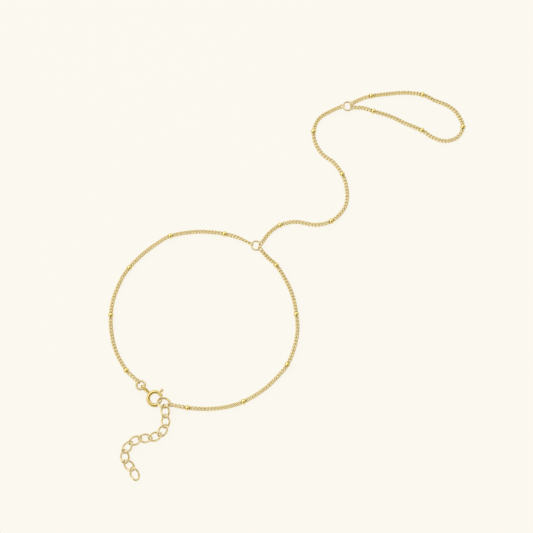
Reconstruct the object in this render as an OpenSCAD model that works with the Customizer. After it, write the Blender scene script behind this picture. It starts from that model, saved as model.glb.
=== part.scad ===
// Hand chain bracelet: a wrist chain with a spring ring clasp and an extender, a chain
// over the back of the hand and a chain loop for the finger, with small drilled beads.
// It lies on the XY plane as laid out on a table, with the finger loop towards +Y.

/* [Chain] */
// Width of the fine curb chain
chain_w = 1.25; // [1.05:0.05:1.35]
// Thickness of the fine curb chain as it lies
chain_h = 0.8; // [0.65:0.05:0.85]
// Width of the chain inside a bead
neck_w = 0.8; // [0.6:0.05:0.9]
// Outer diameter of the round link that ends a chain
end_link_d = 1.44; // [1.36:0.02:1.5]
// Wire of the round link that ends a chain
end_link_wire = 0.26; // [0.2:0.02:0.28]

/* [Beads] */
// Diameter of a bead
bead_d = 1.6; // [1.5:0.05:2]
// Gap between the chain and the wall of a bead's hole
bead_gap = 0.12; // [0.1:0.01:0.15]

/* [Rings] */
// Outer diameter of the ring that joins the wrist chain and the hand chain
wrist_ring_d = 3.1; // [2.8:0.1:3.6]
// Wire of the wrist ring
wrist_ring_wire = 0.5; // [0.35:0.05:0.55]
// Outer diameter of the ring that joins the hand chain and the finger loop
finger_ring_d = 3.2; // [2.8:0.1:3.6]
// Wire of the finger ring
finger_ring_wire = 0.5; // [0.35:0.05:0.55]
// Outer diameter of the jump ring between the wrist chain and the clasp
clasp_ring_d = 3.0; // [2.8:0.1:3.4]
// Wire of the clasp's jump ring
clasp_ring_wire = 0.65; // [0.5:0.05:0.7]
// Outer diameter of the jump ring that the clasp holds
extender_ring_d = 3.9; // [3.8:0.05:4.1]
// Wire of the extender's jump ring
extender_ring_wire = 0.6; // [0.5:0.05:0.65]

/* [Clasp] */
// Outer diameter of the spring ring
clasp_d = 4.8; // [4.6:0.1:5.6]
// Outer diameter of the spring ring's tube
clasp_tube_d = 1.1; // [1:0.05:1.2]
// Wall of the spring ring's tube
clasp_wall = 0.22; // [0.18:0.01:0.24]
// Running gap between the trigger's wire and the tube's bore
trigger_gap = 0.1; // [0.05:0.01:0.12]
// Diameter of the thumb knob on the trigger
knob_d = 0.95; // [0.8:0.05:1.1]
// Diameter of the stem that carries the knob
stem_d = 0.38; // [0.3:0.02:0.42]
// Length of the soldered eye outside the tube
eye_l = 3.0; // [2.8:0.1:3.5]
// Width of the soldered eye
eye_w = 2.2; // [2:0.1:2.5]
// Wire of the soldered eye
eye_wire = 0.6; // [0.5:0.05:0.65]

/* [Extender] */
// Length of one extender link
link_l = 4.15; // [3.9:0.05:4.6]
// Width of one extender link
link_w = 2.75; // [2.6:0.05:3.2]
// Wire of the extender links
link_wire = 0.55; // [0.45:0.05:0.6]
// Twist of a link's ends against its middle, in degrees
link_twist = 45; // [40:1:50]
// Play between two hooked links
link_play = 0.25; // [0.15:0.05:0.35]

/* [Hidden] */
$fn = 48;
gold = [0.85, 0.77, 0.57];
pale_gold = [0.90, 0.83, 0.64];

// Where the rings and the clasp lie on the table, as X and Y
wrist_ring_at = [-3, 6];
finger_ring_at = [24.1, 48.5];
clasp_at = [-30.75, -37.5];

// Routes of the four chains, chosen by hand: X, Y and 1 where a bead sits
route_left = [
    [-8, 8.3, 0], [-12.1, 9.4, 1], [-17, 10.1, 0], [-22, 10, 0], [-27.6, 8.8, 1],
    [-31, 7, 0], [-35.5, 3.5, 0], [-39.1, -0.5, 1], [-41.4, -4, 0], [-43.4, -9.5, 0],
    [-43.9, -14.1, 1], [-43.6, -19, 0], [-42.1, -24.5, 0], [-39, -29.7, 1]];
route_right = [
    [0.5, 2.4, 0], [2.8, 0.2, 1], [5.6, -4.3, 0], [7.5, -8.9, 0], [8.4, -13.9, 1],
    [8.7, -18.5, 0], [7.7, -23.6, 0], [5.8, -28.1, 1], [3.3, -31.2, 0], [-0.8, -35, 0],
    [-6.3, -38.3, 1], [-11.3, -39.8, 0], [-16.4, -40.3, 0], [-21.8, -40, 1]];
route_hand = [
    [0.6, 9.6, 0], [3.9, 12, 1], [8.5, 13.1, 0], [14, 12.2, 0], [18.7, 13.2, 1],
    [22.2, 16.6, 0], [23.4, 20, 0], [23.2, 24, 0], [22.1, 27.4, 1], [19.6, 31.1, 0],
    [16.5, 33.5, 0], [14.4, 37, 0], [13.9, 40.6, 1], [15.4, 44.5, 0], [18.6, 46.8, 0]];
route_finger = [
    [28.1, 50.9, 0], [31.2, 51.7, 1], [36, 52.5, 0], [41.5, 52.9, 0], [46.5, 52.1, 1],
    [50, 50.5, 0], [54, 48.7, 0], [56.6, 46.2, 0], [58, 42, 1], [56.2, 38.8, 0],
    [52.5, 37.7, 0], [48.9, 38.9, 0], [45.8, 40.9, 1], [40.9, 43.3, 0], [36.5, 45.5, 0],
    [31.7, 46.9, 1], [28.5, 48.1, 0]];

// Where each chain hooks its ring and the way it runs from there, in degrees from +X
left_leaves = [165, 152];
right_leaves = [-38, -54];
hand_leaves = [20, 40];
left_arrives = [130, 130];
right_arrives = [-14, -10];
hand_arrives = [180, 195];
finger_leaves = [30, 42];
finger_arrives = [-15, -10];
// Roll of the end link that goes round the leaning ring's wire, in degrees
right_end_roll = -35;

// Sides of the strand that stands for a fine chain, of link wire and of its end links
strand_sides = 8;
wire_sides = 6;
end_link_sides = 12;

// Spring ring: where its mouth opens, where the knob stands, and its eye
mouth_low = -69;
mouth_high = 20;
knob_at = 51;
trigger_travel = 60;
tip_depth = 8;
tail_length = 45;
slot_from = 43;
slot_gap = 0.1;
knob_gap = 0.08;
eye_at = 138;
eye_roll = 20;
eye_sink = 0.1;
eye_play = 0.2;
ring_gap = 0.16;

// Where the extender's ring is held and the share of its radius that lies outside the clasp's wire,
// where its first link hooks, and each link's direction
extender_ring_side = -25;
extender_ring_share = 0.55;
extender_hooks = -78;
link_dirs = [-88, -89, -123, -161, -180, -155, -126, -83, -44, -65];
sloping_links = 2;
link_steps = 16;
link_square = 2.6;

// Values that follow from the sizes above
wrist_ring_r = (wrist_ring_d - wrist_ring_wire) / 2;
finger_ring_r = (finger_ring_d - finger_ring_wire) / 2;
clasp_ring_r = (clasp_ring_d - clasp_ring_wire) / 2;
extender_ring_r = (extender_ring_d - extender_ring_wire) / 2;
end_link_r = (end_link_d - end_link_wire) / 2;
strand_corner = 180 / strand_sides;
bead_bore = neck_w / cos(strand_corner) + 2 * bead_gap;
clasp_r = (clasp_d - clasp_tube_d) / 2;
bore_r = clasp_tube_d / 2 - clasp_wall;
bolt_r = bore_r - trigger_gap;
knob_r = clasp_d / 2 + knob_gap + knob_d / 2;
link_pitch = link_l - 2 * link_wire - link_play;
link_hook = (link_wire + link_play) / 2;

// The extender's ring leans so that it passes over and under the trigger's wire
ring_out = clasp_r + extender_ring_share * extender_ring_r;
crossing = acos((ring_out * ring_out + extender_ring_r * extender_ring_r - clasp_r * clasp_r)
    / (2 * ring_out * extender_ring_r));
lean = asin((bolt_r + extender_ring_wire / 2 + ring_gap) / (extender_ring_r * sin(crossing)));
low_side = extender_ring_side + 90;
rings_z = end_link_d / 2;
clasp_z = extender_ring_r * sin(lean) + extender_ring_wire / 2;

function along(deg) = [cos(deg), sin(deg)];
clasp_ring_out = clasp_d / 2 + eye_l - eye_wire - eye_play - clasp_ring_wire / 2 + clasp_ring_r;
clasp_ring_at = clasp_at + clasp_ring_out * along(eye_at);
extender_ring_at = clasp_at + ring_out * along(extender_ring_side);

// A point on the leaning ring, by its angle in the ring's own plane from +X
function on_extender_ring(deg) =
    let (u = cos(deg - low_side), v = sin(deg - low_side))
    [each extender_ring_at + extender_ring_r * (u * cos(lean) * along(low_side) + v * along(low_side + 90)),
     clasp_z - extender_ring_r * u * sin(lean)];

// Where each chain hooks a ring: the place on the ring's wire, the way the chain leaves
// and the roll of its end link
function on_ring(at, r, z, turn) = [[each at + r * along(turn[0]), z], turn[1], 0];
left_start = on_ring(wrist_ring_at, wrist_ring_r, rings_z, left_leaves);
left_end = on_ring(clasp_ring_at, clasp_ring_r, clasp_z, left_arrives);
right_start = on_ring(wrist_ring_at, wrist_ring_r, rings_z, right_leaves);
right_end = [on_extender_ring(right_arrives[0]), right_arrives[1], right_end_roll];
hand_start = on_ring(wrist_ring_at, wrist_ring_r, rings_z, hand_leaves);
hand_end = on_ring(finger_ring_at, finger_ring_r, rings_z, hand_arrives);
finger_start = on_ring(finger_ring_at, finger_ring_r, rings_z, finger_leaves);
finger_end = on_ring(finger_ring_at, finger_ring_r, rings_z, finger_arrives);

// One extender link: a squarish oval whose two ends are twisted opposite ways
function power(x, p) = sign(x) * pow(abs(x), p);
function link_point(i) =
    let (t = 360 * i / link_steps, a = (link_l - link_wire) / 2, b = (link_w - link_wire) / 2,
         x = a * power(cos(t), 2 / link_square), y = b * power(sin(t), 2 / link_square),
         turn = -link_twist * sin(90 * x / a))
    [x, y * cos(turn), y * sin(turn)];
link_half_h = max([for (i = [0 : link_steps]) link_point(i).z]) + link_wire / 2;

// The extender runs link by link from its ring, and its first links slope down to the table
first_hook = on_extender_ring(extender_hooks);
first_slope = asin((first_hook.z - link_half_h) / (sloping_links * link_pitch - link_hook));
function link_slope(i) = i <= sloping_links ? first_slope : 0;
function link_way(i) = [each along(link_dirs[i - 1]) * cos(link_slope(i)), -sin(link_slope(i))];
function joint_before(i) =
    i == 1 ? first_hook - link_hook * link_way(1) : joint_before(i - 1) + link_pitch * link_way(i - 1);
function link_centre(i) = joint_before(i) + link_pitch / 2 * link_way(i);

// The origin is the middle of what the bracelet covers on the table
all_points = concat(route_left, route_right, route_hand, route_finger);
function reach(p) = p[2] == 1 ? bead_d / 2 : chain_w / 2;
last_link = link_centre(len(link_dirs));
last_dir = link_dirs[len(link_dirs) - 1];
last_reach = norm([link_l / 2 * sin(last_dir), link_w / 2 * cos(last_dir)]);
low_x = min([for (p = all_points) p.x - reach(p)]);
high_x = max([for (p = all_points) p.x + reach(p)]);
low_y = last_link.y - last_reach;
high_y = max([for (p = all_points) p.y + reach(p)]);
middle = [(low_x + high_x) / 2, (low_y + high_y) / 2, 0];

// Points of a chain: its end behind each end link, and its route at the height it lies
function end_point(hook) = hook[0] + end_link_r * [each along(hook[1]), 0];
function lying(p) = [p.x, p.y, p[2] == 1 ? bead_d / 2 : chain_h / 2];
function chain_points(route, from, to) =
    [end_point(from), for (p = route) lying(p), end_point(to)];
function flat_way(v) = [v.x, v.y, 0] / norm([v.x, v.y]);
function bead_way(points, i) = flat_way(points[i + 1] - points[i - 1]);

// Stations of the strand: one at each point, and one at each face of a bead
function strand(route, from, to) =
    let (p = chain_points(route, from, to), n = len(p) - 1)
    [[p[0], [each along(from[1]), 0], neck_w],
     for (i = [1 : n - 1])
         let (way = bead_way(p, i))
         if (route[i - 1][2] == 1)
             each [[p[i] - bead_d / 2 * way, way, neck_w], [p[i] + bead_d / 2 * way, way, neck_w]]
         else [p[i], way, chain_w],
     [p[n], [each -along(to[1]), 0], neck_w]];

// Points round one station of the strand
function section(s) =
    let (side = cross([0, 0, 1], s[1]), out = 1 / cos(strand_corner) / 2)
    [for (k = [0 : strand_sides - 1])
        let (turn = strand_corner * (2 * k + 1))
        s[0] + out * s[2] * cos(turn) * side + [0, 0, out * chain_h * sin(turn)]];

// A closed tube through rings of equally many points
module tube(rings, closed) {
    sides = len(rings[0]);
    count = len(rings);
    last = closed ? count - 1 : count - 2;
    walls = [for (i = [0 : last], k = [0 : sides - 1])
        let (here = i * sides, there = (i + 1) % count * sides, m = (k + 1) % sides)
        each [[here + k, there + k, there + m], [here + k, there + m, here + m]]];
    ends = closed ? [] : [
        [for (k = [0 : sides - 1]) k],
        [for (k = [sides - 1 : -1 : 0]) (count - 1) * sides + k]];
    polyhedron([for (r = rings) each r], concat(walls, ends));
}

// The round link at the end of a chain, standing upright round a ring's wire
module end_link(hook) {
    translate(hook[0])
        rotate([90 + hook[2], 0, hook[1]])
            rotate_extrude($fn = end_link_sides)
                translate([end_link_r, 0])
                    circle(d = end_link_wire, $fn = wire_sides);
}

module chain(route, from, to) {
    color(gold)
        translate(-middle)
            union() {
                tube([for (s = strand(route, from, to)) section(s)], closed = false);
                end_link(from);
                end_link(to);
            }
}

module wrist_chain_left() { chain(route_left, left_start, left_end); }
module wrist_chain_right() { chain(route_right, right_start, right_end); }
module hand_chain() { chain(route_hand, hand_start, hand_end); }
module finger_chain() { chain(route_finger, finger_start, finger_end); }

// One bead, drilled along the chain that it sits on, by its number on the route
module bead(route, from, to, number) {
    points = chain_points(route, from, to);
    places = [for (i = [0 : len(route) - 1]) if (route[i][2] == 1) i + 1];
    i = places[number - 1];
    way = bead_way(points, i);
    color(pale_gold)
        translate(points[i] - middle)
            rotate([0, 90, atan2(way.y, way.x)])
                difference() {
                    sphere(d = bead_d);
                    cylinder(d = bead_bore, h = 2 * bead_d, center = true);
                }
}

module wire_ring(r, wire) {
    rotate_extrude()
        translate([r, 0])
            circle(d = wire);
}

module wrist_ring() {
    color(pale_gold)
        translate([each wrist_ring_at, rings_z] - middle)
            wire_ring(wrist_ring_r, wrist_ring_wire);
}

module finger_ring() {
    color(pale_gold)
        translate([each finger_ring_at, rings_z] - middle)
            wire_ring(finger_ring_r, finger_ring_wire);
}

module clasp_ring() {
    color(pale_gold)
        translate([each clasp_ring_at, clasp_z] - middle)
            wire_ring(clasp_ring_r, clasp_ring_wire);
}

module extender_ring() {
    color(pale_gold)
        translate([each extender_ring_at, clasp_z] - middle)
            rotate([0, lean, low_side])
                wire_ring(extender_ring_r, extender_ring_wire);
}

// An upright oval eye, from the tube's wall outwards along +X
module clasp_eye() {
    r = (eye_w - eye_wire) / 2;
    near = clasp_d / 2 - eye_sink + eye_wire / 2 + r;
    far = clasp_d / 2 + eye_l - eye_wire / 2 - r;
    for (end = [[near, 90], [far, -90]])
        translate([end[0], 0, 0])
            rotate([90, 0, 0])
                rotate_extrude(angle = 180, start = end[1])
                    translate([r, 0])
                        circle(d = eye_wire);
    for (side = [-1, 1])
        translate([near, 0, side * r])
            rotate([0, 90, 0])
                cylinder(d = eye_wire, h = far - near);
}

module clasp_body() {
    slot_reach = knob_at + trigger_travel + asin((stem_d / 2 + slot_gap) / clasp_r);
    color(gold)
        translate([each clasp_at, clasp_z] - middle)
            union() {
                difference() {
                    rotate_extrude(angle = 360 + mouth_low - mouth_high, start = mouth_high)
                        translate([clasp_r, 0])
                            circle(d = clasp_tube_d);
                    rotate_extrude()
                        translate([clasp_r, 0])
                            circle(r = bore_r);
                    rotate_extrude(angle = slot_reach - slot_from, start = slot_from)
                        translate([clasp_r, -stem_d / 2 - slot_gap])
                            square([clasp_tube_d, stem_d + 2 * slot_gap]);
                }
                rotate([0, 0, eye_at])
                    rotate([eye_roll, 0, 0])
                        clasp_eye();
            }
}

module clasp_trigger() {
    tip = mouth_low - tip_depth;
    color(pale_gold)
        translate([each clasp_at, clasp_z] - middle)
            union() {
                rotate_extrude(angle = knob_at + tail_length - tip, start = tip)
                    translate([clasp_r, 0])
                        circle(r = bolt_r);
                rotate([0, 0, knob_at]) {
                    translate([clasp_r, 0, 0])
                        rotate([0, 90, 0])
                            cylinder(d = stem_d, h = knob_r - clasp_r);
                    translate([knob_r, 0, 0])
                        sphere(d = knob_d);
                }
            }
}

// Points round the wire of an extender link at one step
function link_ring(i) =
    let (p = link_point(i), next = link_point(i + 1), past = link_point(i - 1),
         way = (next - past) / norm(next - past),
         out = p - (p * way) * way, side = out / norm(out), up = cross(way, side))
    [for (k = [0 : wire_sides - 1])
        let (turn = 360 * k / wire_sides)
        p + link_wire / 2 * (cos(turn) * side + sin(turn) * up)];

module extender_link(i) {
    color(gold)
        translate(link_centre(i) - middle)
            rotate([0, link_slope(i), link_dirs[i - 1]])
                tube([for (k = [0 : link_steps - 1]) link_ring(k)], closed = true);
}

wrist_chain_left();
wrist_chain_right();
hand_chain();
finger_chain();
wrist_ring();
finger_ring();
clasp_ring();
extender_ring();
clasp_body();
clasp_trigger();
for (i = [1 : 10])
    extender_link(i);
for (i = [1 : 5])
    bead(route_left, left_start, left_end, i);
for (i = [1 : 5])
    bead(route_right, right_start, right_end, i);
for (i = [1 : 4])
    bead(route_hand, hand_start, hand_end, i);
for (i = [1 : 5])
    bead(route_finger, finger_start, finger_end, i);
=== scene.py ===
# Hand chain bracelet, laid out on a pale table and seen from nearly straight above.
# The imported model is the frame: rings, beads and links sit where their CAD nodes are, and the fine
# curb chains are laid link by link along the routes of the tubes that stand for them.
import bpy
import bmesh
import math
from mathutils import Matrix, Vector, noise


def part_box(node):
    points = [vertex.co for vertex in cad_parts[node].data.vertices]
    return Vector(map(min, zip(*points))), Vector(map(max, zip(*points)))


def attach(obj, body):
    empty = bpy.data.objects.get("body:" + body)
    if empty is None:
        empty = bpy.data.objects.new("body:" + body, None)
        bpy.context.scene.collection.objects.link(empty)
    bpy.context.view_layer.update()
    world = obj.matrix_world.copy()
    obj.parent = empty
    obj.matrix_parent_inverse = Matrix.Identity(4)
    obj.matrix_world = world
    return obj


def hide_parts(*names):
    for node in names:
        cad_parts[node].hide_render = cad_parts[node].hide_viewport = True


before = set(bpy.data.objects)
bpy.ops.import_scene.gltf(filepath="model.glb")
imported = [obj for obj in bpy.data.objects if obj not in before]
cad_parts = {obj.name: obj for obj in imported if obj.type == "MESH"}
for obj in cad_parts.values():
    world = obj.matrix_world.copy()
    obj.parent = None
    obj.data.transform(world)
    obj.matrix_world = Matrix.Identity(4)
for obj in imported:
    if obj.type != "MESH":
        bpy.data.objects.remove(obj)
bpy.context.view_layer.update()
print("frame loaded with", len(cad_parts), "nodes")

# Pieces are shaped in millimetres and brought to metres when they are finished.
mm = 0.001
sameWithin = 1e-4  # places closer than this many millimetres count as one
scene = bpy.context.scene
fullTurn = 2 * math.pi


def clamp(value):
    return min(1.0, max(0.0, value))


def nodeCentre(node):
    low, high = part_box(node)
    return (low + high) / 2 / mm


def along(degrees):
    return Vector((math.cos(math.radians(degrees)), math.sin(math.radians(degrees)), 0))


def turnTo(way):
    # a turn that brings +X to a direction and keeps +Y level
    way = way.normalized()
    side = Vector((0, 0, 1)).cross(way).normalized()
    up = way.cross(side)
    return Matrix((way, side, up)).transposed().to_4x4()


# Camera: tilted a little off straight down; its clipping is in metres
cameraSet = {"lens": 59.0, "sensor": 36.0, "tilt": 12.0, "distance": 250.0, "lookAt": (-7.05, 3.081, 0.0),
             "clip": (0.01, 20.0)}


def makeCamera():
    tilt = math.radians(cameraSet["tilt"])
    target = Vector(cameraSet["lookAt"])
    back = Vector((0, -math.sin(tilt), math.cos(tilt)))
    camera = bpy.data.objects.new("camera", bpy.data.cameras.new("camera"))
    camera.data.lens = cameraSet["lens"]
    camera.data.sensor_width = cameraSet["sensor"]
    camera.data.clip_start, camera.data.clip_end = cameraSet["clip"]
    camera.rotation_mode = "QUATERNION"
    camera.location = (target + cameraSet["distance"] * back) * mm
    camera.rotation_quaternion = (-back).to_track_quat("-Z", "Y")
    scene.collection.objects.link(camera)
    scene.camera = camera


makeCamera()
print("camera set")


# Materials
class Sum:
    # wraps a socket, so that shader maths is written as plain sums
    def __init__(self, look, socket):
        self.look, self.socket = look, socket

    def maths(self, operation, first, second):
        return self.look.node("ShaderNodeMath", {"operation": operation}, {0: first, 1: second})

    def __add__(self, other):
        return self.maths("ADD", self, other)

    def __radd__(self, other):
        return self.maths("ADD", other, self)

    def __sub__(self, other):
        return self.maths("SUBTRACT", self, other)

    def __rsub__(self, other):
        return self.maths("SUBTRACT", other, self)

    def __mul__(self, other):
        return self.maths("MULTIPLY", self, other)

    def __rmul__(self, other):
        return self.maths("MULTIPLY", other, self)


class Look:
    # a material or a world, whose nodes all come from one method
    def __init__(self, owner):
        self.owner = owner
        owner.use_nodes = True
        self.tree = owner.node_tree
        self.tree.nodes.clear()

    def node(self, kind, settings=None, sockets=None, output=0):
        # the settings come first, because a node's sockets can change with them
        made = self.tree.nodes.new(kind)
        for key, value in (settings or {}).items():
            setattr(made, key, value)
        for key, value in (sockets or {}).items():
            if isinstance(value, Sum):
                self.tree.links.new(value.socket, made.inputs[key])
            else:
                made.inputs[key].default_value = value
        return Sum(self, made.outputs[output]) if made.outputs else None


# Each gold has a bright colour for its outer faces and a deeper colour that is painted shade on inner faces,
# in bead bores and inside the clasp's tube, and that also carries the plating's cloudy tone. It also has its
# roughness and its grain.
goldLooks = {
    "chain": {"colour": (0.90, 0.78, 0.45), "deep": (0.84, 0.71, 0.38), "rough": 0.42, "grain": 0.25},
    "bead": {"colour": (0.84, 0.70, 0.31), "deep": (0.70, 0.54, 0.17), "rough": 0.10, "grain": 0.15},
    "ring": {"colour": (0.79, 0.68, 0.43), "deep": (0.68, 0.57, 0.33), "rough": 0.34, "grain": 0.2},
    "extender": {"colour": (0.85, 0.74, 0.46), "deep": (0.76, 0.64, 0.36), "rough": 0.34, "grain": 0.2},
    "clasp": {"colour": (0.76, 0.61, 0.26), "deep": (0.62, 0.47, 0.15), "rough": 0.10, "grain": 0.12},
    "trigger": {"colour": (0.80, 0.67, 0.36), "deep": (0.64, 0.50, 0.22), "rough": 0.16, "grain": 0.2},
}
# The plating that all the golds share: how fine its patterns are and how much each one does
platingSet = {
    "clouds": 420.0, "spots": 5200.0, "scratches": (9000.0, 1500.0, 6000.0), "scratchTurn": (0.3, 0.2, 0.7),
    "shadeAndPolishShare": 0.75, "cloudShare": 0.5, "wearAndShadeFrom": 0.3, "wearAndShadeTo": 0.9,
    "spotRough": 0.10, "wearPolish": 0.08, "cloudRough": 0.06,
    "scratchHeight": 0.6, "spotHeight": 0.4, "bumpDepth": 0.000004,
}


def makeGold(name):
    # plated metal: cloudy plating tone, painted shade and fine scratches; the mesh's mask is 1 on outer
    # faces, which get the bright colour and a smoother finish, and low on inner faces, where the deep colour
    # is painted shade
    values, plating = goldLooks[name], platingSet
    look = Look(bpy.data.materials.new(name + "Gold"))
    place = look.node("ShaderNodeTexCoord", output=3)
    shadeAndPolish = look.node("ShaderNodeAttribute", {"attribute_name": "shadeAndPolish"}, output=2)
    cloud = look.node("ShaderNodeTexNoise", None,
                      {"Vector": place, "Scale": plating["clouds"], "Detail": 3.0})
    spots = look.node("ShaderNodeTexNoise", None,
                      {"Vector": place, "Scale": plating["spots"], "Detail": 4.0})
    stretched = look.node("ShaderNodeMapping", None, {
        "Vector": place, "Scale": plating["scratches"], "Rotation": plating["scratchTurn"]})
    scratches = look.node("ShaderNodeTexNoise", None, {"Vector": stretched, "Scale": 1.0, "Detail": 2.0})
    # the mask's painted shade and the plating's random cloudy tone, summed into one value that also smooths
    # the roughness where it is high
    wearAndShade = look.node("ShaderNodeMapRange", {"clamp": True}, {
        "Value": shadeAndPolish * plating["shadeAndPolishShare"] + cloud * plating["cloudShare"],
        "From Min": plating["wearAndShadeFrom"], "From Max": plating["wearAndShadeTo"]})
    # painted shade: the deep colour where that value is low, the bright colour where it is high
    colour = look.node("ShaderNodeMix", {"data_type": "RGBA"},
                       {"Factor": wearAndShade, 6: (*values["deep"], 1.0), 7: (*values["colour"], 1.0)}, output=2)
    rough = (values["rough"] + spots * plating["spotRough"] - wearAndShade * plating["wearPolish"]
             + (1 - cloud) * plating["cloudRough"])
    bump = look.node("ShaderNodeBump", None, {
        "Strength": values["grain"], "Distance": plating["bumpDepth"],
        "Height": scratches * plating["scratchHeight"] + spots * plating["spotHeight"]})
    shader = look.node("ShaderNodeBsdfPrincipled", None,
                       {"Base Color": colour, "Metallic": 1.0, "Roughness": rough, "Normal": bump})
    look.node("ShaderNodeOutputMaterial", None, {"Surface": shader})
    return look.owner


golds = {name: makeGold(name) for name in goldLooks}
print("gold finishes made")


# Making and finishing a mesh
def toMesh(bm, name):
    mesh = bpy.data.meshes.new(name)
    bm.to_mesh(mesh)
    bm.free()
    return mesh


def finishPiece(bm, name, material, body, nodes):
    # brings a shape to metres and hands it to the frame in place of its CAD nodes
    bmesh.ops.scale(bm, vec=(mm, mm, mm), verts=bm.verts)
    mesh = toMesh(bm, name)
    mesh.shade_smooth()
    mesh.materials.append(golds[material])
    piece = bpy.data.objects.new(name, mesh)
    scene.collection.objects.link(piece)
    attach(piece, body)
    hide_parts(*nodes)


def spinWire(bm, radius, wire, sides, steps, angle=fullTurn, start=0.0):
    # a round wire section, spun about Z from an angle; a full turn closes on itself
    stand = (Matrix.Rotation(start, 4, "Z") @ Matrix.Translation((radius, 0, 0))
             @ Matrix.Rotation(math.pi / 2, 4, "X"))
    section = bmesh.ops.create_circle(bm, segments=sides, radius=wire / 2, matrix=stand)["verts"]
    edges = list(dict.fromkeys(edge for vert in section for edge in vert.link_edges))
    closed = angle == fullTurn
    made = bmesh.ops.spin(bm, geom=section + edges, cent=(0, 0, 0), axis=(0, 0, 1), angle=angle,
                          steps=steps, use_merge=closed)
    if closed:
        return section, []
    last = [item for item in made["geom_last"] if isinstance(item, bmesh.types.BMVert)]
    return section, last


def lathe(bm, profile, steps, closed):
    # spins a line of points (out, along) about X
    verts = [bm.verts.new((reach, out, 0)) for out, reach in profile]
    pairs = zip(verts, verts[1:] + verts[:1]) if closed else zip(verts, verts[1:])
    edges = [bm.edges.new(pair) for pair in pairs]
    bmesh.ops.spin(bm, geom=verts + edges, cent=(0, 0, 0), axis=(1, 0, 0), angle=fullTurn, steps=steps,
                   use_merge=True)


def softenEdges(bm, edges, width, segments):
    bmesh.ops.bevel(bm, geom=edges, offset=width, offset_type="OFFSET", affect="EDGES", segments=segments,
                    profile=0.5, material=-1)


def capEnd(bm, verts, soften):
    # closes an open wire end and rounds its rim
    rim = [edge for edge in bm.edges if edge.verts[0] in verts and edge.verts[1] in verts]
    bmesh.ops.edgeloop_fill(bm, edges=rim)
    softenEdges(bm, rim, soften, 3)


def closePoles(bm):
    # joins the points where a turned profile meets its own axis, and points the faces outwards
    bmesh.ops.remove_doubles(bm, verts=bm.verts, dist=sameWithin)
    bmesh.ops.recalc_face_normals(bm, faces=bm.faces)


# Twisted links: the same form makes the fine curb chain and the extender
bendRadius = 10.0  # of the ring that a link is before it gets its form


def linkPoint(shape, turn):
    # the middle of the wire of a squarish oval, with its two ends twisted opposite ways
    a, b = (shape["length"] - shape["wire"]) / 2, (shape["width"] - shape["wire"]) / 2
    power = 2 / shape["square"]
    x = a * math.copysign(abs(math.cos(turn)) ** power, math.cos(turn))
    y = b * math.copysign(abs(math.sin(turn)) ** power, math.sin(turn))
    twist = -math.radians(shape["twist"]) * math.sin(math.pi / 2 * x / a)
    return Vector((x, y * math.cos(twist), y * math.sin(twist)))


def twistedLink(shape):
    # a closed link, spun as a wide ring and then laid on its own line
    bm = bmesh.new()
    shadeAndPolish = bm.verts.layers.float.new("shadeAndPolish")
    spinWire(bm, bendRadius, shape["wire"], shape["sides"], shape["steps"])
    step = fullTurn / shape["steps"] / 4
    for vert in bm.verts:
        turn = math.atan2(vert.co.y, vert.co.x)
        out, height = math.hypot(vert.co.x, vert.co.y) - bendRadius, vert.co.z
        centre = linkPoint(shape, turn)
        way = (linkPoint(shape, turn + step) - linkPoint(shape, turn - step)).normalized()
        side = (centre - centre.dot(way) * way).normalized()
        vert.co = centre + out * side + height * way.cross(side)
        # painted shade: the mask falls from 1 on the wire's outer side to 0 on its inner side, where the
        # links hold each other
        vert[shadeAndPolish] = 0.5 + 0.5 * out / (shape["wire"] / 2)
    bmesh.ops.recalc_face_normals(bm, faces=bm.faces)
    return toMesh(bm, "linkForm")


def flatten(form, height):
    # a curb chain is ground flat above and below
    for vert in form.vertices:
        vert.co.z = max(-height, min(height, vert.co.z))
    return form


def narrowed(form, share, thin, over):
    # a copy of a link that narrows towards -X, where it goes into a bead: all thin before a place,
    # and whole again over a length
    neck = form.copy()
    for vert in neck.vertices:
        keep = clamp((vert.co.x - thin) / over)
        vert.co.y *= share + (1 - share) * keep
        vert.co.z *= share + (1 - share) * keep
    return neck


def addCopy(bm, form, matrix):
    # adds a copy of a mesh and brings it to its place
    known = set(bm.verts)
    bm.from_mesh(form)
    bmesh.ops.transform(bm, matrix=matrix, verts=[vert for vert in bm.verts if vert not in known])


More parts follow.
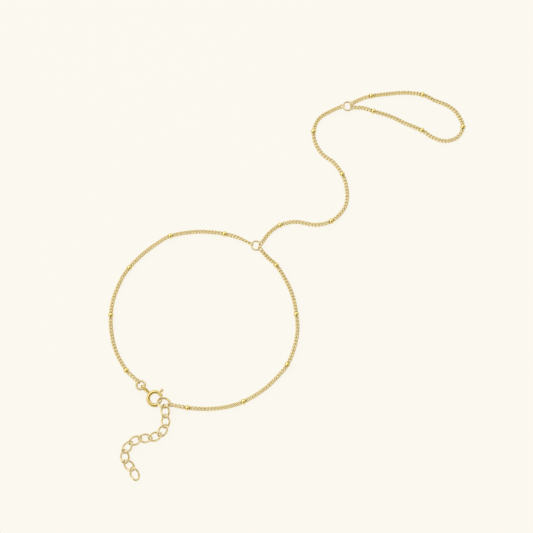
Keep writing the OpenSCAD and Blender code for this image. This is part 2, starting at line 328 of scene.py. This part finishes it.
# Fine curb chains
# Routes in metres, with the same points as the part's source: x, y and 1 where a bead sits
routes = {
    "left": [
        (-0.008, 0.0083, 0), (-0.0121, 0.0094, 1), (-0.017, 0.0101, 0), (-0.022, 0.010, 0),
        (-0.0276, 0.0088, 1), (-0.031, 0.007, 0), (-0.0355, 0.0035, 0), (-0.0391, -0.0005, 1),
        (-0.0414, -0.004, 0), (-0.0434, -0.0095, 0), (-0.0439, -0.0141, 1), (-0.0436, -0.019, 0),
        (-0.0421, -0.0245, 0), (-0.039, -0.0297, 1)],
    "right": [
        (0.0005, 0.0024, 0), (0.0028, 0.0002, 1), (0.0056, -0.0043, 0), (0.0075, -0.0089, 0),
        (0.0084, -0.0139, 1), (0.0087, -0.0185, 0), (0.0077, -0.0236, 0), (0.0058, -0.0281, 1),
        (0.0033, -0.0312, 0), (-0.0008, -0.035, 0), (-0.0063, -0.0383, 1), (-0.0113, -0.0398, 0),
        (-0.0164, -0.0403, 0), (-0.0218, -0.040, 1)],
    "hand": [
        (0.0006, 0.0096, 0), (0.0039, 0.012, 1), (0.0085, 0.0131, 0), (0.014, 0.0122, 0),
        (0.0187, 0.0132, 1), (0.0222, 0.0166, 0), (0.0234, 0.020, 0), (0.0232, 0.024, 0),
        (0.0221, 0.0274, 1), (0.0196, 0.0311, 0), (0.0165, 0.0335, 0), (0.0144, 0.037, 0),
        (0.0139, 0.0406, 1), (0.0154, 0.0445, 0), (0.0186, 0.0468, 0)],
    "finger": [
        (0.0281, 0.0509, 0), (0.0312, 0.0517, 1), (0.036, 0.0525, 0), (0.0415, 0.0529, 0),
        (0.0465, 0.0521, 1), (0.050, 0.0505, 0), (0.054, 0.0487, 0), (0.0566, 0.0462, 0),
        (0.058, 0.042, 1), (0.0562, 0.0388, 0), (0.0525, 0.0377, 0), (0.0489, 0.0389, 0),
        (0.0458, 0.0409, 1), (0.0409, 0.0433, 0), (0.0365, 0.0455, 0), (0.0317, 0.0469, 1),
        (0.0285, 0.0481, 0)],
}
wristRingOnTable = Vector((-3, 6, 0))
shift = nodeCentre("wrist_ring") * Vector((1, 1, 0)) - wristRingOnTable

# The rings that the chains hook, with the angle where a jump ring was cut
ringSizes = {
    "wrist_ring": {"outer": 3.1, "wire": 0.5, "cutAt": None, "gold": "ring"},
    "finger_ring": {"outer": 3.2, "wire": 0.5, "cutAt": None, "gold": "ring"},
    "clasp_ring": {"outer": 3.0, "wire": 0.65, "cutAt": 60.0, "gold": "ring"},
    "extender_ring": {"outer": 3.9, "wire": 0.6, "cutAt": 195.0, "gold": "trigger"},
}
# The clasp: where its centre lies, its sizes, and its angles from +X
claspSizes = {
    "at": (-30.75, -37.5), "outer": 4.8, "tube": 1.1, "wall": 0.22, "mouthLow": -69.0, "mouthHigh": 20.0,
    "knobAt": 51.0, "knob": 0.95, "knobGap": 0.08, "stem": 0.38, "bolt": 0.46, "tipDepth": 8.0, "tail": 45.0,
    "slotFrom": 43.0, "slotTo": 121.0, "eyeAt": 138.0, "eyeRoll": 20.0,
    "eyeLength": 3.0, "eyeWidth": 2.2, "eyeWire": 0.6, "eyeSink": 0.1,
}
# The extender's ring leans in the clasp's mouth: on which side, how far out, and its gap to the wire
leanSet = {"side": -25.0, "share": 0.55, "gap": 0.16}


def ringRadius(name):
    return (ringSizes[name]["outer"] - ringSizes[name]["wire"]) / 2


def extenderLean():
    # how far the extender's ring leans to pass over and under the trigger's wire
    clasp, ring = (claspSizes["outer"] - claspSizes["tube"]) / 2, ringRadius("extender_ring")
    out = clasp + leanSet["share"] * ring
    crossing = math.acos((out * out + ring * ring - clasp * clasp) / (2 * out * ring))
    rise = claspSizes["bolt"] / 2 + ringSizes["extender_ring"]["wire"] / 2 + leanSet["gap"]
    return math.asin(rise / (ring * math.sin(crossing)))


def onRing(name, degrees):
    # the place on a ring's wire at an angle
    centre, radius = nodeCentre(name), ringRadius(name)
    if name != "extender_ring":
        return centre + radius * along(degrees)
    lowSide, lean = leanSet["side"] + 90, extenderLean()
    u, v = math.cos(math.radians(degrees - lowSide)), math.sin(math.radians(degrees - lowSide))
    flat = u * math.cos(lean) * along(lowSide) + v * along(lowSide + 90)
    return centre + radius * flat - Vector((0, 0, radius * u * math.sin(lean)))


# the last two mask values give the bead's bright outer skin and the painted shade in its bore
beadSet = {"outer": 1.6, "bore": 1.106, "rim": 0.03, "arc": 14, "steps": 36,
           "skin": 0.02, "outsideUnshaded": 0.9, "inside": 0.1}
# Links lie a pitch apart and each turns by a little sway. Beside a bead they narrow to a neck.
chainSet = {
    "link": {"length": 1.80, "width": 1.34, "wire": 0.40, "twist": 55.0, "square": 3.0,
             "steps": 14, "sides": 6},
    "endLink": {"length": 1.9, "width": 1.42, "wire": 0.33, "square": 2.8, "steps": 32, "sides": 12},
    "pitch": 0.93, "lying": 0.40, "flat": 0.37, "play": 0.08, "sway": 5.0, "swayScale": 0.35,
    "neck": 0.66, "neckThin": -0.1, "neckOver": 0.5, "rollFrom": 1.2, "between": 100,
}
# Each end of a chain: its ring, where on the ring's wire it hooks, and the way it runs from there.
# The end link stands up at the ring and is twisted towards the chain, which lies flat at once
# or comes from its edge to its flat side over some length.
usualEnd = {"stands": 75, "twist": 60, "roll": 0, "over": 1}
chainRuns = {
    "left": {
        "node": "wrist_chain_left", "piece": "wristChainLeft",
        "from": {"ring": "wrist_ring", "at": 165, "way": 152, "stands": 90, "twist": 30, "roll": 66,
                 "over": 7},
        "to": {"ring": "clasp_ring", "at": 130, "way": 130, **usualEnd}},
    "right": {
        "node": "wrist_chain_right", "piece": "wristChainRight",
        "from": {"ring": "wrist_ring", "at": -38, "way": -54, **usualEnd},
        "to": {"ring": "extender_ring", "at": -14, "way": -10, "stands": 72, "twist": 30, "roll": 55,
               "over": 5.5}},
    "hand": {
        "node": "hand_chain", "piece": "handChain",
        "from": {"ring": "wrist_ring", "at": 20, "way": 40, **usualEnd},
        "to": {"ring": "finger_ring", "at": 180, "way": 195, **usualEnd}},
    "finger": {
        "node": "finger_chain", "piece": "fingerChain",
        "from": {"ring": "finger_ring", "at": 30, "way": 42, **usualEnd},
        "to": {"ring": "finger_ring", "at": -15, "way": -10, **usualEnd}},
}


def routePoints(run):
    # a chain's chosen points from ring to ring, and which of them carry a bead
    start, stop = chainRuns[run]["from"], chainRuns[run]["to"]
    points, beads = [onRing(start["ring"], start["at"])], []
    for x, y, bead in routes[run]:
        height = beadSet["outer"] / 2 if bead else chainSet["lying"]
        points.append(Vector((x / mm, y / mm, height)) + shift)
        if bead:
            beads.append(len(points) - 1)
    points.append(onRing(stop["ring"], stop["at"]))
    return points, beads


def layRoute(run):
    # points every few hundredths of a millimetre on a smooth curve, with the length to each
    points, beads = routePoints(run)
    ways = [(after - before) / 2 for before, after in zip(points, points[2:])]
    first, last = points[1] - points[0], points[-1] - points[-2]
    firstWay = along(chainRuns[run]["from"]["way"]) * first.length
    lastWay = along(chainRuns[run]["to"]["way"]) * -last.length
    ways = [firstWay] + ways + [lastWay]
    curve, stations = [], []
    for i in range(len(points) - 1):
        stations.append(len(curve))
        for k in range(chainSet["between"]):
            t = k / chainSet["between"]
            curve.append((2 * t**3 - 3 * t**2 + 1) * points[i] + (t**3 - 2 * t**2 + t) * ways[i]
                         + (3 * t**2 - 2 * t**3) * points[i + 1] + (t**3 - t**2) * ways[i + 1])
    curve.append(points[-1])
    for place in curve:
        place.z = max(place.z, chainSet["lying"])
    lengths = [0.0]
    for before, after in zip(curve, curve[1:]):
        lengths.append(lengths[-1] + (after - before).length)
    return curve, lengths, [lengths[stations[i]] for i in beads]


def pointAt(curve, lengths, reach):
    # the point at a length along the curve
    low, high = 0, len(lengths) - 1
    while high - low > 1:
        middle = (low + high) // 2
        if lengths[middle] <= reach:
            low = middle
        else:
            high = middle
    share = (reach - lengths[low]) / (lengths[high] - lengths[low])
    return curve[low].lerp(curve[high], share)


def endReach(ring):
    # from the ring's wire to the middle of the end link, whose tip passes inside the ring
    end = chainSet["endLink"]
    return (end["length"] - end["wire"]) / 2 - (ringSizes[ring]["wire"] + end["wire"]) / 2 - chainSet["play"]


def rollAt(hook, reach):
    # how far a chain is still turned on its edge at a length from its ring
    share = clamp(1 - (reach - chainSet["rollFrom"]) / hook["over"])
    return math.radians(hook["roll"]) * share * share * (3 - 2 * share)


def layChain(run, forms):
    # lays a chain's links between its rings and beads, and tells how many there are
    values = chainRuns[run]
    start, stop = values["from"], values["to"]
    curve, lengths, beads = layRoute(run)
    link, end = chainSet["link"], chainSet["endLink"]
    inner = (end["length"] - end["wire"] + link["length"] - link["wire"]) / 2
    step = inner - (end["wire"] + link["wire"]) / 2 - chainSet["play"]
    bm = bmesh.new()
    laid = 0
    marks = [endReach(start["ring"]) + step] + beads + [lengths[-1] - endReach(stop["ring"]) - step]
    half = chainSet["pitch"] / 2
    for i, (low, high) in enumerate(zip(marks, marks[1:])):
        # a bead sits midway between two links
        low += half if i > 0 else 0
        high -= half if i < len(beads) else 0
        count = round((high - low) / chainSet["pitch"])
        pitch = (high - low) / count
        for k in range(count + 1):
            reach = low + k * pitch
            before = pointAt(curve, lengths, reach - pitch / 2)
            after = pointAt(curve, lengths, reach + pitch / 2)
            roll = rollAt(start, reach) - rollAt(stop, lengths[-1] - reach)
            middle = (before + after) / 2
            lift = (link["width"] / 2 - chainSet["lying"]) * abs(math.sin(roll))
            middle.z = max(middle.z, chainSet["lying"] + lift)
            roll += math.radians(chainSet["sway"] * noise.noise(before * chainSet["swayScale"]))
            place = Matrix.Translation(middle) @ turnTo(after - before) @ Matrix.Rotation(roll, 4, "X")
            form = forms["link"]
            if (k == 0 and i > 0) or (k == count and i < len(beads)):
                form = forms["neck"]
                if k == count:
                    place = place @ Matrix.Rotation(math.pi, 4, "Z")
            addCopy(bm, form, place)
        laid += count + 1
    for hook in (start, stop):
        form = twistedLink({**end, "twist": hook["twist"]})
        roll = Matrix.Rotation(math.radians(hook["stands"] - hook["twist"]), 4, "X")
        middle = onRing(hook["ring"], hook["at"]) + endReach(hook["ring"]) * along(hook["way"])
        addCopy(bm, form, Matrix.Translation(middle) @ turnTo(along(hook["way"])) @ roll)
    finishPiece(bm, values["piece"], "chain", "bracelet", [values["node"]])
    return laid


linkForm = flatten(twistedLink(chainSet["link"]), chainSet["flat"])
neckForm = narrowed(linkForm, chainSet["neck"], chainSet["neckThin"], chainSet["neckOver"])
linkCount = sum(layChain(run, {"link": linkForm, "neck": neckForm}) for run in chainRuns)
print("fine chains laid with", linkCount, "links")


# Beads
def makeBead(run, number, way):
    # a ball turned about its hole, with the hole's two rims rounded
    node = "bead_%s_%d" % (run, number)
    outer, bore = beadSet["outer"] / 2, beadSet["bore"] / 2
    edge = math.asin(bore / outer)
    profile = [(outer * math.sin(angle), outer * math.cos(angle)) for angle in
               (edge + (math.pi - 2 * edge) * i / beadSet["arc"] for i in range(beadSet["arc"] + 1))]
    bm = bmesh.new()
    lathe(bm, profile, beadSet["steps"], closed=True)
    bmesh.ops.recalc_face_normals(bm, faces=bm.faces)
    rims = [e for e in bm.edges if all(abs(math.hypot(v.co.y, v.co.z) - bore) < sameWithin for v in e.verts)
            and abs(e.verts[0].co.x - e.verts[1].co.x) < sameWithin]
    softenEdges(bm, rims, beadSet["rim"], 2)
    # painted shade: the ball's outer skin gets a high mask value and the bore a low one, which darkens the
    # bore
    shadeAndPolish = bm.verts.layers.float.new("shadeAndPolish")
    for vert in bm.verts:
        vert[shadeAndPolish] = beadSet["outsideUnshaded"] if vert.co.length > outer - beadSet["skin"] else beadSet["inside"]
    bmesh.ops.transform(bm, matrix=Matrix.Translation(nodeCentre(node)) @ turnTo(way), verts=bm.verts)
    finishPiece(bm, "bead%s%d" % (run.capitalize(), number), "bead", "bracelet", [node])


for run in routes:
    points, beads = routePoints(run)
    for number, i in enumerate(beads, 1):
        makeBead(run, number, (points[i + 1] - points[i - 1]) * Vector((1, 1, 0)))
print("beads turned")


# Jump rings
ringSet = {"sides": 16, "steps": 64, "cut": 1.2, "soften": 0.03}


def makeRing(node, turn=Matrix()):
    # round wire; a jump ring keeps the fine cut where it was closed
    sizes = ringSizes[node]
    bm = bmesh.new()
    if sizes["cutAt"] is None:
        spinWire(bm, ringRadius(node), sizes["wire"], ringSet["sides"], ringSet["steps"])
    else:
        cut = math.radians(ringSet["cut"])
        start = math.radians(sizes["cutAt"]) + cut / 2
        ends = spinWire(bm, ringRadius(node), sizes["wire"], ringSet["sides"], ringSet["steps"],
                        fullTurn - cut, start)
        for end in ends:
            capEnd(bm, set(end), ringSet["soften"])
    bmesh.ops.recalc_face_normals(bm, faces=bm.faces)
    # painted shade: the mask rises across the wire from the ring's inner side, where the chains hook, to its
    # outer side
    shadeAndPolish = bm.verts.layers.float.new("shadeAndPolish")
    for vert in bm.verts:
        vert[shadeAndPolish] = 0.5 + (math.hypot(vert.co.x, vert.co.y) - ringRadius(node)) / sizes["wire"]
    bmesh.ops.transform(bm, matrix=Matrix.Translation(nodeCentre(node)) @ turn, verts=bm.verts)
    words = node.split("_")
    finishPiece(bm, words[0] + words[1].capitalize(), sizes["gold"], "bracelet", [node])


for node in ("wrist_ring", "finger_ring", "clasp_ring"):
    makeRing(node)
makeRing("extender_ring", Matrix.Rotation(math.radians(leanSet["side"] + 90), 4, "Z")
         @ Matrix.Rotation(extenderLean(), 4, "Y"))
print("jump rings bent")


# Extender
extenderSet = {
    "link": {"length": 4.15, "width": 2.75, "wire": 0.55, "twist": 45.0, "square": 2.6,
             "steps": 48, "sides": 14},
    "ways": [-88, -89, -123, -161, -180, -155, -126, -83, -44, -65],
    "hooks": -78.0, "play": 0.25, "sloping": 2,
}


def firstSlope():
    # the first links come down from the leaning ring to the table
    drop = onRing("extender_ring", extenderSet["hooks"]).z - nodeCentre("extender_link_10").z
    link, play = extenderSet["link"], extenderSet["play"]
    pitch = link["length"] - 2 * link["wire"] - play
    return math.asin(drop / (extenderSet["sloping"] * pitch - (link["wire"] + play) / 2))


extenderForm = twistedLink(extenderSet["link"])
for i, degrees in enumerate(extenderSet["ways"], 1):
    node = "extender_link_%d" % i
    slope = firstSlope() if i <= extenderSet["sloping"] else 0.0
    turn = Matrix.Rotation(math.radians(degrees), 4, "Z") @ Matrix.Rotation(slope, 4, "Y")
    bm = bmesh.new()
    addCopy(bm, extenderForm, Matrix.Translation(nodeCentre(node)) @ turn)
    finishPiece(bm, "extenderLink%d" % i, "extender", "bracelet", [node])
print("extender linked")


# Spring ring clasp
claspAt = Vector((*claspSizes["at"], nodeCentre("clasp_trigger").z)) + shift
claspRadius = (claspSizes["outer"] - claspSizes["tube"]) / 2
# the clasp's mask values give the tube's outer skin and the knob the bright colour, and the tube's inside
# and the bolt painted shade
claspMesh = {
    "sides": 24, "stepDegrees": 2.0, "rim": 0.035, "rimAngle": 50.0,
    "skin": 0.1, "outsideUnshaded": 0.8, "inside": 0.1, "knobUnshaded": 1.0, "boltShaded": 0.5,
    "eyeSides": 14, "eyeSteps": 48, "footShare": 0.72, "footOver": 0.625,
    "boltSides": 16, "boltStep": 4.0, "tip": 0.07, "stemSink": 0.05, "knobArc": 14, "knobSteps": 24,
}
# The solder at the eye's foot: its points go out from the wire's own radius and up from the tube's outside
solderSet = {"deep": -0.15, "points": ((0.12, -0.06), (0.09, 0.06), (-0.01, 0.16), (-0.05, 0.22)),
             "top": 0.24, "steps": 20}


def makeEye():
    # an upright oval of wire that narrows towards the tube, with a solder fillet at its foot
    sizes = claspSizes
    radius = (sizes["eyeWidth"] - sizes["eyeWire"]) / 2
    near = sizes["outer"] / 2 - sizes["eyeSink"] + sizes["eyeWire"] / 2
    far = sizes["outer"] / 2 + sizes["eyeLength"] - sizes["eyeWire"] / 2
    middle, stretch = (near + far) / 2, (far - near) / 2 - radius
    foot = claspMesh["footShare"]
    bm = bmesh.new()
    spinWire(bm, radius, sizes["eyeWire"], claspMesh["eyeSides"], claspMesh["eyeSteps"])
    for vert in bm.verts:
        if abs(vert.co.x) > sameWithin:
            vert.co.x += math.copysign(stretch, vert.co.x)
        share = (vert.co.x + radius + stretch) / (2 * (radius + stretch))
        vert.co.y *= foot + (1 - foot) * clamp(share / claspMesh["footOver"])
    around = Matrix.Rotation(math.radians(sizes["eyeAt"]), 4, "Z")
    stand = (Matrix.Rotation(math.radians(sizes["eyeRoll"]), 4, "X") @ Matrix.Translation((middle, 0, 0))
             @ Matrix.Rotation(math.pi / 2, 4, "X"))
    bmesh.ops.transform(bm, matrix=around @ stand, verts=bm.verts)
    wall, wire = sizes["outer"] / 2, sizes["eyeWire"] / 2
    profile = [(0.0, wall + solderSet["deep"])]
    profile += [(wire + out, wall + up) for out, up in solderSet["points"]]
    profile += [(0.0, wall + solderSet["top"])]
    solder = bmesh.new()
    lathe(solder, profile, solderSet["steps"], closed=False)
    closePoles(solder)
    addCopy(bm, toMesh(solder, "solderForm"), around)
    bmesh.ops.recalc_face_normals(bm, faces=bm.faces)
    return toMesh(bm, "eyeForm")


def makeClaspBody():
    # a tube arc with the slot that the knob slides in, given its wall and softened at its rims
    sizes = claspSizes
    arc = 360 + sizes["mouthLow"] - sizes["mouthHigh"]
    bm = bmesh.new()
    spinWire(bm, claspRadius, sizes["tube"], claspMesh["sides"], round(arc / claspMesh["stepDegrees"]),
             math.radians(arc), math.radians(sizes["mouthHigh"]))
    bmesh.ops.recalc_face_normals(bm, faces=bm.faces)
    slot = []
    for face in bm.faces:
        middle = face.calc_center_median()
        turn = math.degrees(math.atan2(middle.y, middle.x)) % 360
        out, height = math.hypot(middle.x, middle.y) - claspRadius, abs(middle.z)
        if sizes["slotFrom"] < turn < sizes["slotTo"] and out > 0 and height < sizes["tube"] / 4:
            slot.append(face)
    bmesh.ops.delete(bm, geom=slot, context="FACES")
    bmesh.ops.solidify(bm, geom=bm.faces[:], thickness=sizes["wall"])
    bmesh.ops.recalc_face_normals(bm, faces=bm.faces)
    sharp = math.radians(claspMesh["rimAngle"])
    rims = [edge for edge in bm.edges if len(edge.link_faces) == 2 and edge.calc_face_angle() > sharp]
    softenEdges(bm, rims, claspMesh["rim"], 2)
    # painted shade: the tube's outer skin gets a high mask value and its inside wall a low one, which
    # darkens the inside
    shadeAndPolish = bm.verts.layers.float.new("shadeAndPolish")
    addCopy(bm, makeEye(), Matrix())
    for vert in bm.verts:
        out = math.hypot(math.hypot(vert.co.x, vert.co.y) - claspRadius, vert.co.z)
        outside = out > sizes["tube"] / 2 - claspMesh["skin"]
        vert[shadeAndPolish] = claspMesh["outsideUnshaded"] if outside else claspMesh["inside"]
    bmesh.ops.transform(bm, matrix=Matrix.Translation(claspAt), verts=bm.verts)
    finishPiece(bm, "claspBody", "clasp", "bracelet", ["clasp_body"])


def makeTrigger():
    # the sprung wire that closes the mouth, with its stem and thumb knob
    sizes = claspSizes
    tip = sizes["mouthLow"] - sizes["tipDepth"]
    arc = sizes["knobAt"] + sizes["tail"] - tip
    bm = bmesh.new()
    ends = spinWire(bm, claspRadius, sizes["bolt"], claspMesh["boltSides"],
                    round(arc / claspMesh["boltStep"]), math.radians(arc), math.radians(tip))
    for end in ends:
        capEnd(bm, set(end), claspMesh["tip"])
    knob, stem = sizes["knob"] / 2, sizes["stem"] / 2
    centre = sizes["outer"] / 2 + sizes["knobGap"] + knob
    join = math.asin(stem / knob)
    steps = claspMesh["knobArc"]
    ball = [(knob * math.sin(angle), centre - knob * math.cos(angle)) for angle in
            (join + (math.pi - join) * i / steps for i in range(steps))]
    foot = [(0.0, claspRadius), (stem, claspRadius), (stem, ball[0][1] - claspMesh["stemSink"])]
    turned = bmesh.new()
    lathe(turned, foot + ball + [(0.0, centre + knob)], claspMesh["knobSteps"], closed=False)
    closePoles(turned)
    addCopy(bm, toMesh(turned, "knobForm"), Matrix.Rotation(math.radians(sizes["knobAt"]), 4, "Z"))
    bmesh.ops.recalc_face_normals(bm, faces=bm.faces)
    shadeAndPolish = bm.verts.layers.float.new("shadeAndPolish")
    # painted shade: the knob gets the full mask value and the bolt, which runs inside the tube, half of it
    for vert in bm.verts:
        onKnob = vert.co.length > sizes["outer"] / 2
        vert[shadeAndPolish] = claspMesh["knobUnshaded"] if onKnob else claspMesh["boltShaded"]
    bmesh.ops.transform(bm, matrix=Matrix.Translation(claspAt), verts=bm.verts)
    finishPiece(bm, "claspTrigger", "trigger", "trigger", ["clasp_trigger"])


makeClaspBody()
makeTrigger()
print("clasp fitted")


# Table and light, in metres
tableSet = {"size": 4.0, "drop": 0.00002, "colour": (0.10, 0.098, 0.092), "grain": (0.095, 0.092, 0.085),
            "clouds": 6.0, "rough": 0.8, "glow": (0.879, 0.857, 0.80)}


def makeTable():
    look = Look(bpy.data.materials.new("tablePaper"))
    place = look.node("ShaderNodeTexCoord", output=3)
    cloud = look.node("ShaderNodeTexNoise", None,
                      {"Vector": place, "Scale": tableSet["clouds"], "Detail": 3.0})
    colour = look.node("ShaderNodeMix", {"data_type": "RGBA"}, {
        "Factor": cloud, 6: (*tableSet["colour"], 1.0), 7: (*tableSet["grain"], 1.0)}, output=2)
    shader = look.node("ShaderNodeBsdfPrincipled", None, {
        "Base Color": colour, "Roughness": tableSet["rough"], "Specular IOR Level": 0.0,
        "Emission Color": (*tableSet["glow"], 1.0), "Emission Strength": 1.0})
    look.node("ShaderNodeOutputMaterial", None, {"Surface": shader})
    bm = bmesh.new()
    bmesh.ops.create_grid(bm, x_segments=2, y_segments=2, size=tableSet["size"] / 2)
    bmesh.ops.translate(bm, vec=(0, 0, -tableSet["drop"]), verts=bm.verts)
    mesh = toMesh(bm, "table")
    mesh.materials.append(look.owner)
    table = bpy.data.objects.new("table", mesh)
    scene.collection.objects.link(table)


lightSet = {
    "tent": (1.16, 1.15, 1.12), "dark": (0.38, 0.31, 0.11),
    "places": [
        {"way": (0.22, -0.50, 0.84), "from": 0.68, "to": 0.84, "share": 1.0},
        {"way": (0.94, 0.20, 0.27), "from": 0.86, "to": 0.96, "share": 0.9},
        {"way": (0.0, 0.0, -1.0), "from": -0.45, "to": 0.0, "share": 0.45}],
    "panelPower": 0.6, "panelSize": 0.5, "panelAt": (-0.35, 0.25, 0.6),
}


def makeLight():
    # a white light tent, darker where the camera looks in, low on the right and along its foot
    look = Look(bpy.data.worlds.new("lightTent"))
    way = look.node("ShaderNodeTexCoord", output=0)
    dark = 0.0
    for place in lightSet["places"]:
        near = look.node("ShaderNodeVectorMath", {"operation": "DOT_PRODUCT"},
                         {0: way, 1: Vector(place["way"]).normalized()}, output=1)
        shade = look.node("ShaderNodeMapRange", {"interpolation_type": "SMOOTHSTEP"},
                          {"Value": near, "From Min": place["from"], "From Max": place["to"]})
        dark = shade.maths("MAXIMUM", shade * place["share"], dark)
    colour = look.node("ShaderNodeMix", {"data_type": "RGBA"},
                       {"Factor": dark, 6: (*lightSet["tent"], 1.0), 7: (*lightSet["dark"], 1.0)}, output=2)
    glow = look.node("ShaderNodeBackground", None, {"Color": colour, "Strength": 1.0})
    look.node("ShaderNodeOutputWorld", None, {"Surface": glow})
    scene.world = look.owner
    panel = bpy.data.objects.new("panel", bpy.data.lights.new("panel", "AREA"))
    panel.data.energy = lightSet["panelPower"]
    panel.data.size = lightSet["panelSize"]
    panel.location = lightSet["panelAt"]
    panel.rotation_mode = "QUATERNION"
    panel.rotation_quaternion = (-Vector(lightSet["panelAt"])).to_track_quat("-Z", "Y")
    scene.collection.objects.link(panel)
    scene.view_settings.view_transform = "Standard"


makeTable()
makeLight()
print("table and light set")
